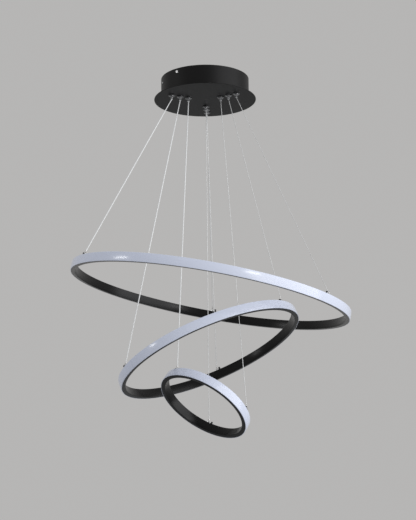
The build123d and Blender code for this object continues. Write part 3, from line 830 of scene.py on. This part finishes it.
@dataclass
class Ring:
    """One lit ring, with its place in the canopy's frame."""

    name: str
    radius: float
    centre: Vector
    tilt: float
    low_side: float
    seam: float
    gripper_circle: float
    anchors: Dict[Side, float]
    steps: int
    band_half: float = 9.5 * MM
    band_depth: float = 10.0 * MM
    wall: float = 1.2 * MM
    lens_face: float = 1.5 * MM
    lens_crown: float = 0.5 * MM
    lens_leg: float = 2.0 * MM
    fit: float = 0.1 * MM
    channel_seam: float = 0.2 * MM
    lens_seam: float = 0.5 * MM
    bridge_height: float = 3.6 * MM
    screw_distance: float = 6.4 * MM
    screw_radius: float = 1.2 * MM
    screw_length: float = 3.0 * MM
    head_radius: float = 2.2 * MM
    head_height: float = 5.6 * MM
    head_taper: float = 3.0
    socket_radius: float = 1.0 * MM
    socket_depth: float = 1.3 * MM
    socket_flat: float = 0.9
    leg_thickness: float = 1.0 * MM
    crown_rows: int = 12
    edge_round: float = 0.45 * MM
    lip_round: float = 0.12 * MM
    inner_round: float = 0.3 * MM
    cover_round: float = 0.6 * MM
    chip_level: float = 2.95 * MM
    cables: List[Cable] = field(default_factory=list)

    def __post_init__(self) -> None:
        """Adds the ring's three cables."""
        self.cables = [Cable(self, side) for side in Side]

    @property
    def axes(self) -> Matrix:
        """The ring's own frame: x across, y to the far side, z square to its plane."""
        lean = math.radians(self.tilt)
        return stand(self.centre, polar(math.sin(lean), self.low_side, math.cos(lean)), Vector((1, 0, 0)))

    def anchor(self, side: Side, height: float) -> Matrix:
        """Returns the place of an anchor: x along the ring and z square to its plane.

        Args:
            side: which anchor.
            height: how far above the channel's top it is.

        Returns:
            The matrix to the shared frame.
        """
        middle = self.radius - (self.band_depth + self.lens_face) / 2
        spot = self.axes @ polar(middle, self.anchors[side], self.band_half + height)
        along = self.axes.to_3x3() @ polar(1.0, self.anchors[side] + 90)
        return stand(spot, self.axes.col[2].xyz, along)

    def band(
        self, corners: Corners, radii: Sequence[float], seam: float, rounding: int
    ) -> bmesh.types.BMesh:
        """Sweeps a section round the ring, from one side of its seam to the other.

        Args:
            corners: the section's (radius, height) corners.
            radii: the rounding at each corner.
            seam: the seam's width.
            rounding: runs in each rounding.

        Returns:
            A closed mesh, with U along the band and V across it, in metres.
        """
        half = seam / 2 / self.radius
        start = self.axes @ Matrix.Rotation(math.radians(self.seam) + half, 4, "Z")
        bm = bmesh.new()
        spun(bm, outline(bm, start, corners, radii, rounding), start, FULL_TURN - 2 * half, self.steps)
        capped(bm)
        back = start.inverted()
        uv = bm.loops.layers.uv.verify()
        for face in bm.faces:
            turn = math.atan2(*(back @ face.calc_center_median()).yx) % FULL_TURN
            for loop in face.loops:
                spot = back @ loop.vert.co
                own = turn + (math.atan2(spot.y, spot.x) - turn + math.pi) % FULL_TURN - math.pi
                loop[uv].uv = (self.radius * own, spot.z + math.hypot(spot.x, spot.y) - self.radius)
        return bm

    def channel_piece(self, material: bpy.types.Material) -> bpy.types.Object:
        """Makes the channel with its rounded edges."""
        inner, mouth = self.radius - self.band_depth, self.radius - self.lens_face - self.fit
        half, deep, back = self.band_half, self.band_half - self.wall, inner + self.wall
        corners = [
            (inner, half), (mouth, half), (mouth, deep), (back, deep),
            (back, -deep), (mouth, -deep), (mouth, -half), (inner, -half),
        ]
        upper = [self.edge_round, self.lip_round, self.lip_round, self.inner_round]
        bm = self.band(corners, [*upper, *reversed(upper)], self.channel_seam, 4)
        return publish(bm, f"{self.name}_channel", material)

    def cover_piece(self, material: bpy.types.Material) -> bpy.types.Object:
        """Makes the cover: a slightly crowned face with two legs that clip into the channel."""
        face, half = self.radius - self.lens_face, self.band_half
        leg, top = face - self.lens_leg, self.band_half - self.wall - self.fit
        low = top - self.leg_thickness
        rows = [-1 + 2 * step / self.crown_rows for step in range(self.crown_rows + 1)]
        crown = [(self.radius - self.lens_crown * row * row, -half * row) for row in rows]
        corners = [(face, half), *crown, (face, -half)]
        corners += [(face, -top), (leg, -top), (leg, -low), (face, -low)]
        corners += [(face, low), (leg, low), (leg, top), (face, top)]
        crest = [self.cover_round, *[0.0] * (self.crown_rows - 1), self.cover_round]
        radii = [0.1 * MM, *crest, 0.1 * MM, *[0.0] * 8]
        return publish(self.band(corners, radii, self.lens_seam, 5), f"{self.name}_cover", material)

    def screw_piece(self, material: bpy.types.Material) -> bpy.types.Object:
        """Makes the three socket cap screws beside the staples; their black also stands in for the dark
        reflection on the left half of each staple.
        """
        top = self.head_height
        rim = self.head_radius - top * math.tan(math.radians(self.head_taper))
        corners = [
            (0.0, -self.screw_length), (self.screw_radius, -self.screw_length), (self.screw_radius, 0.0),
            (self.head_radius, 0.0), (rim, top), (self.socket_radius, top),
            (self.socket_radius, top - self.socket_depth), (0.0, top - self.socket_depth),
        ]
        radii = [0.0, 0.2 * MM, 0.0, 0.2 * MM, 0.35 * MM, 0.08 * MM, 0.0, 0.0]
        hexagon = facets(6)

        def reshape(radius: float, angle: float, z: float) -> float:
            """Turns the socket's wall into a hexagon."""
            in_socket = z > top - self.socket_depth - 0.01 * MM and radius < self.socket_radius + 0.1 * MM
            return hexagon(radius * self.socket_flat, angle) if in_socket else radius

        bm = bmesh.new()
        for side in Side:
            place = self.anchor(side, 0.0) @ Matrix.Translation((-self.screw_distance, 0, 0))
            lathe(bm, place, corners, radii, 48, reshape)
        return publish(bm, f"{self.name}_cap_screws", material, 30.0)

    def led_board(self) -> LedBoard:
        """Returns the finish of the ring's LED strip."""
        return LedBoard(
            f"led_board_{self.name}", (0.78, 0.78, 0.75), (0.80, 0.62, 0.10), 0.38, 0.15,
            centre=self.centre, normal=self.axes.col[2].xyz,
            chip_radius=self.radius - self.band_depth + self.chip_level,
        )

    def build(self, finish: Dict[str, bpy.types.Material]) -> None:
        """Makes the ring's channel, cover, screws and cables.

        Args:
            finish: the materials by name.
        """
        body = f"{self.name}_ring"
        channel = self.channel_piece(finish["black_anodised"])
        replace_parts(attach(channel, body), f"{self.name}_profile")
        cover = self.cover_piece(finish["opal_lens"])
        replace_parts(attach(cover, body), f"{self.name}_diffuser")
        # The screws' black is partly painted reflection, standing in for the dark left half of each staple.
        screws = self.screw_piece(finish["black_oxide_and_dark_reflection"])
        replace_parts(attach(screws, body), f"{self.name}_anchor_screws")
        for cable in self.cables:
            cable.build(finish)


RINGS = [
    Ring(
        "large", 0.300, Vector((0.0079, 0.0189, -0.4698)), 11.1, -13.6, 62.0, 0.080,
        {Side.LEFT: 206.3, Side.RIGHT: 324.2, Side.FAR: 89.5}, 360,
    ),
    Ring(
        "medium", 0.200, Vector((0.0038, -0.0031, -0.5982)), 22.9, 161.9, 213.0, 0.060,
        {Side.LEFT: 203.4, Side.RIGHT: 328.0, Side.FAR: 83.3}, 288,
    ),
    Ring(
        "small", 0.100, Vector((-0.0052, -0.0272, -0.7126)), 35.7, 33.5, 60.0, 0.040,
        {Side.LEFT: 220.3, Side.RIGHT: 341.0, Side.FAR: 89.2}, 216,
    ),
]


# ---- the canopy
@dataclass
class Canopy:
    """The drum with what it holds."""

    plate_bottom: float = -46.5 * MM
    bracket_angle: float = 52.0
    terminal_distance: float = 27.0 * MM
    terminal_pitch: float = 10.0 * MM
    terminal_row: float = 8.0 * MM
    screw_radius: float = 1.5 * MM
    screw_height: float = 1.8 * MM
    screw_level: float = -10.5 * MM
    slot_width: float = 0.7 * MM
    barrel_radius: float = 5.0 * MM
    barrel_length: float = 16.0 * MM
    chamber_radius: float = 3.4 * MM
    chamber_roof: float = 2.0 * MM
    bore_radius: float = 1.3 * MM
    outlet_radius: float = 2.6 * MM
    collar_radius: float = 7.2 * MM
    collar_height: float = 2.0 * MM
    boss_radius: float = 5.6 * MM
    boss_height: float = 1.5 * MM
    knurls: int = 36
    knurl_depth: float = 0.015
    dish_depth: float = 0.9 * MM
    dish_rim: float = 0.7 * MM
    chamber_floor: float = 1.2 * MM
    slot_turn: float = 0.3
    cut_corners: int = 8

    def gripper_bodies(self, material: bpy.types.Material) -> bpy.types.Object:
        """Makes the nine gripper bodies, with knurled collars and dished undersides.

        Args:
            material: their material.

        Returns:
            The bodies, as one piece.
        """
        mid = -self.collar_height
        low = mid - self.boss_height
        top = self.barrel_length
        corners = [
            (self.outlet_radius, low + self.dish_depth), (self.boss_radius - self.dish_rim, low),
            (self.boss_radius, low), (self.boss_radius, mid), (self.collar_radius, mid),
            (self.collar_radius, 0.0), (self.barrel_radius, 0.0), (self.barrel_radius, top),
            (self.bore_radius, top), (self.bore_radius, top - self.chamber_roof),
            (self.chamber_radius, top - self.chamber_roof),
            (self.chamber_radius, low + self.chamber_floor),
            (self.outlet_radius, low + self.chamber_floor),
        ]
        radii = [0.0, 0.15 * MM, 0.15 * MM, 0.0, 0.4 * MM, 0.3 * MM, 0.0, 0.5 * MM, *[0.0] * 5]

        def reshape(radius: float, angle: float, z: float) -> float:
            """Cuts the straight knurl into the collar's rim."""
            if radius < self.collar_radius - 0.05 * MM:
                return radius
            return radius * (1 - self.knurl_depth + self.knurl_depth * math.cos(self.knurls * angle))

        bm = bmesh.new()
        for ring in RINGS:
            for angle in GRIPPER_ANGLE.values():
                place = Matrix.Translation(polar(ring.gripper_circle, angle, self.plate_bottom))
                lathe(bm, place, corners, radii, 144, reshape)
        return publish(bm, "gripper_bodies", material, 28.0)

    def terminal_screws(self, material: bpy.types.Material) -> bpy.types.Object:
        """Makes the slotted brass screws in the terminal block's wells.

        Args:
            material: their material.

        Returns:
            The screws, as one piece.
        """
        out, across = polar(1.0, self.bracket_angle), polar(1.0, self.bracket_angle + 90)
        bm = bmesh.new()
        for way in (-1, 0, 1):
            for row in (-0.5, 0.5):
                spot = out * (self.terminal_distance + self.terminal_pitch * way)
                spot += across * self.terminal_row * row + Vector((0, 0, self.screw_level))
                place = stand(spot, Vector((0, 0, 1)), out + across * self.slot_turn * way)
                for half in (-1, 1):
                    self.half_head(bm, place, half)
        return publish(bm, "terminal_screws", material, 30.0)

    def half_head(self, bm: bmesh.types.BMesh, place: Matrix, half: int) -> None:
        """Makes the part of a screw's head on one side of its slot.

        Known fault: the face to raise is looked for among every head made so far, so some
        halves stay flat and others are raised more than once.

        Args:
            bm: the mesh to add to.
            place: the head's underside.
            half: 1 or -1, the side.
        """
        disc = bmesh.ops.create_circle(
            bm, cap_ends=True, segments=28, radius=self.screw_radius, matrix=place
        )
        geom = list({item for vert in disc["verts"] for item in (vert, *vert.link_edges, *vert.link_faces)})
        side = place.col[0].xyz * half
        bmesh.ops.bisect_plane(
            bm, geom=geom, plane_co=place.translation + side * self.slot_width / 2, plane_no=side,
            clear_inner=True,
        )
        halves = [item for item in bm.faces if len(item.verts) > self.cut_corners]
        face = max(halves, key=lambda item: item.calc_center_median().dot(side))
        grown = bmesh.ops.extrude_face_region(bm, geom=[face], use_keep_orig=True)
        lifted = [item for item in grown["geom"] if isinstance(item, bmesh.types.BMVert)]
        bmesh.ops.translate(bm, verts=lifted, vec=(0, 0, self.screw_height))

    def build(self, finish: Dict[str, bpy.types.Material]) -> None:
        """Makes the canopy's own new pieces.

        Args:
            finish: the materials by name.
        """
        bodies = self.gripper_bodies(finish["dark_nickel"])
        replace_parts(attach(bodies, "canopy"), "gripper_barrels")
        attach(self.terminal_screws(finish["brass"]), "canopy")


# ---- the light
class Pendant:
    """The whole light: new pieces for what shows most, and finishes for the rest."""

    def __init__(self, nodes: Dict[str, bpy.types.Object]) -> None:
        """Makes the materials.

        Args:
            nodes: the CAD nodes by name.
        """
        self.nodes = nodes
        kinds = [
            POWDER_COAT, BLACK_ANODISED, OPAL, CHROME, DARK_NICKEL, SATIN_CHROME, ZINC, BLACK_OXIDE_AND_DARK_REFLECTION,
            CRIMP_METAL, BRASS, WIRE_ROPE, CLEAR_JACKET, WHITE_MOULDING, NYLON, FOAM,
        ]
        self.finish = {kind.name: kind.material() for kind in kinds}

    def paint(self, names: Iterable[str], material: bpy.types.Material, crease: float = 32.0) -> None:
        """Gives CAD nodes a material, and smooth shading between their creases.

        Args:
            names: the nodes' names.
            material: the material.
            crease: edges bent by more than this many degrees stay sharp.
        """
        for name in names:
            mesh = self.nodes[name].data
            if not mesh.materials:
                mesh.materials.append(material)
            for index in range(len(mesh.materials)):
                mesh.materials[index] = material
            mesh.shade_smooth()
            mesh.set_sharp_from_angle(angle=math.radians(crease))

    def paint_nodes(self) -> None:
        """Gives every CAD node its finish."""
        zinc = ["ceiling_bracket", "earth_screw", "gripper_nuts", "plate_nuts", "gripper_springs"]
        plain = {"powder_coat": ["canopy_drum", "canopy_plate"], "zinc_plate": zinc}
        plain.update({"chrome": ["bracket_screws"], "dark_nickel": ["gripper_barrels"]})
        plain.update({"nylon": ["terminal_block"], "foam_tape": ["driver_pads"]})
        for kind, names in plain.items():
            self.paint(names, self.finish[kind])
        of_ring = {
            "driver": "white_moulding", "profile": "black_anodised", "diffuser": "opal_lens",
            # Anchor screws: black oxide that also stands in as painted reflection for the staples' dark
            # left halves.
            "splice": "zinc_plate", "anchor_bridges": "satin_chrome", "anchor_screws": "black_oxide_and_dark_reflection",
        }
        for ring in RINGS:
            for part, kind in of_ring.items():
                self.paint([f"{ring.name}_{part}"], self.finish[kind])
            self.paint([f"{ring.name}_led_strip"], ring.led_board().material())
            for cable in ring.cables:
                self.paint([f"{cable.name}_plunger"], self.finish["chrome"])
                self.paint([f"{cable.name}_cable_end"], self.finish["crimp_metal"])
                kind = "clear_jacket" if cable.jacketed else "wire_rope"
                self.paint([f"{cable.name}_cable"], self.finish[kind])

    def build(self) -> None:
        """Makes and paints everything."""
        for ring in RINGS:
            ring.build(self.finish)
        Canopy().build(self.finish)
        self.paint_nodes()


# ---- studio
@dataclass(frozen=True)
class Lamp:
    """A soft rectangular lamp, placed by where it is seen from the middle of the light."""

    name: str
    azimuth: float
    elevation: float
    distance: float
    size: Tuple[float, float]
    watts: float
    tint: Tone = (1.0, 1.0, 1.0)
    aim: Tuple[float, float, float] = (0.0, 0.0, -0.5)

    def build(self) -> None:
        """Adds the lamp to the scene. Its azimuth goes from the viewer's side (-Y) towards +X."""
        data = bpy.data.lights.new(self.name, "AREA")
        data.shape = "RECTANGLE"
        data.size, data.size_y = self.size
        data.energy = self.watts
        data.color = self.tint
        rise = math.radians(self.elevation)
        away = polar(math.cos(rise), self.azimuth - 90, math.sin(rise)) * self.distance
        lamp = bpy.data.objects.new(self.name, data)
        turn = (-away).to_track_quat("-Z", "Y").to_matrix().to_4x4()
        lamp.matrix_world = Matrix.Translation(Vector(self.aim) + away) @ turn
        bpy.context.scene.collection.objects.link(lamp)


@dataclass(frozen=True)
class Studio:
    """The camera, the background and the lamps."""

    spot: Tuple[float, float, float] = (-0.00067, -3.4058, -1.2345)
    pitch: float = 0.23956
    yaw: float = 0.00113
    roll: float = -0.00923
    lens: float = 143.47
    sensor: float = 36.0
    floor_half: float = 9.0
    floor_level: float = -2.4
    shown: Tone = (0.47, 0.465, 0.46)
    light: Tone = (0.80, 0.82, 0.86)
    strength: float = 0.73
    lamps: Tuple[Lamp, ...] = (
        Lamp("key", 62.0, 8.0, 3.4, (4.2, 3.0), 97.0, (0.97, 0.98, 1.0)),
        Lamp("left_glint", -73.5, 17.5, 3.0, (0.6, 0.16), 4.0),
        Lamp("left_low_glint", -69.0, 2.8, 3.0, (0.4, 0.14), 3.0),
        Lamp("right_glint", 32.0, 7.0, 3.0, (0.6, 0.14), 5.0),
    )

    def add_camera(self) -> None:
        """Puts the camera where the photograph was taken from."""
        ahead = polar(math.cos(self.pitch), 90 - math.degrees(self.yaw), math.sin(self.pitch))
        right = polar(1.0, -math.degrees(self.yaw))
        up = right.cross(ahead)
        level_right = right * math.cos(self.roll) + up * math.sin(self.roll)
        level_up = up * math.cos(self.roll) - right * math.sin(self.roll)
        data = bpy.data.cameras.new("camera")
        data.sensor_fit = "HORIZONTAL"
        data.sensor_width = self.sensor
        data.lens = self.lens
        data.clip_end = 100.0
        camera = bpy.data.objects.new("camera", data)
        turn = Matrix((level_right, level_up, -ahead)).transposed().to_4x4()
        camera.matrix_world = Matrix.Translation(self.spot) @ turn
        bpy.context.scene.collection.objects.link(camera)
        bpy.context.scene.camera = camera

    def add_world(self) -> None:
        """Makes a plain world: one grey is seen, also in metal and gloss, and another lights."""
        world = bpy.data.worlds.new("studio")
        world.use_nodes = True
        nodes = NodeTree(world.node_tree)
        shown = nodes.node("ShaderNodeLightPath", pick="Is Camera Ray")
        for kind in ("Is Glossy Ray", "Is Transmission Ray"):
            ray = nodes.node("ShaderNodeLightPath", pick=kind)
            shown = nodes.node("ShaderNodeMath", {0: shown, 1: ray}, operation="MAXIMUM")
        lit = nodes.node("ShaderNodeBackground", {0: (*self.light, 1.0), 1: self.strength})
        seen = nodes.node("ShaderNodeBackground", {0: (*self.shown, 1.0)})
        nodes.close("ShaderNodeOutputWorld", nodes.node("ShaderNodeMixShader", {0: shown, 1: lit, 2: seen}))
        bpy.context.scene.world = world

    def add_floor(self) -> None:
        """Adds the plain pale floor."""
        bm = bmesh.new()
        level = Matrix.Translation((0, 0, self.floor_level))
        bmesh.ops.create_grid(bm, x_segments=1, y_segments=1, size=self.floor_half, matrix=level)
        publish(bm, "floor", PALE_FLOOR.material())

    def build(self) -> None:
        """Adds everything round the object."""
        self.add_camera()
        self.add_world()
        self.add_floor()
        for lamp in self.lamps:
            lamp.build()


def main() -> None:
    """Builds the whole scene."""
    logging.basicConfig(level=logging.INFO, format="%(message)s")
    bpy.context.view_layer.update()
    bpy.context.scene.view_settings.view_transform = "Standard"
    Pendant(frame["nodes"]).build()
    Studio().build()


if __name__ == "__main__":
    main()
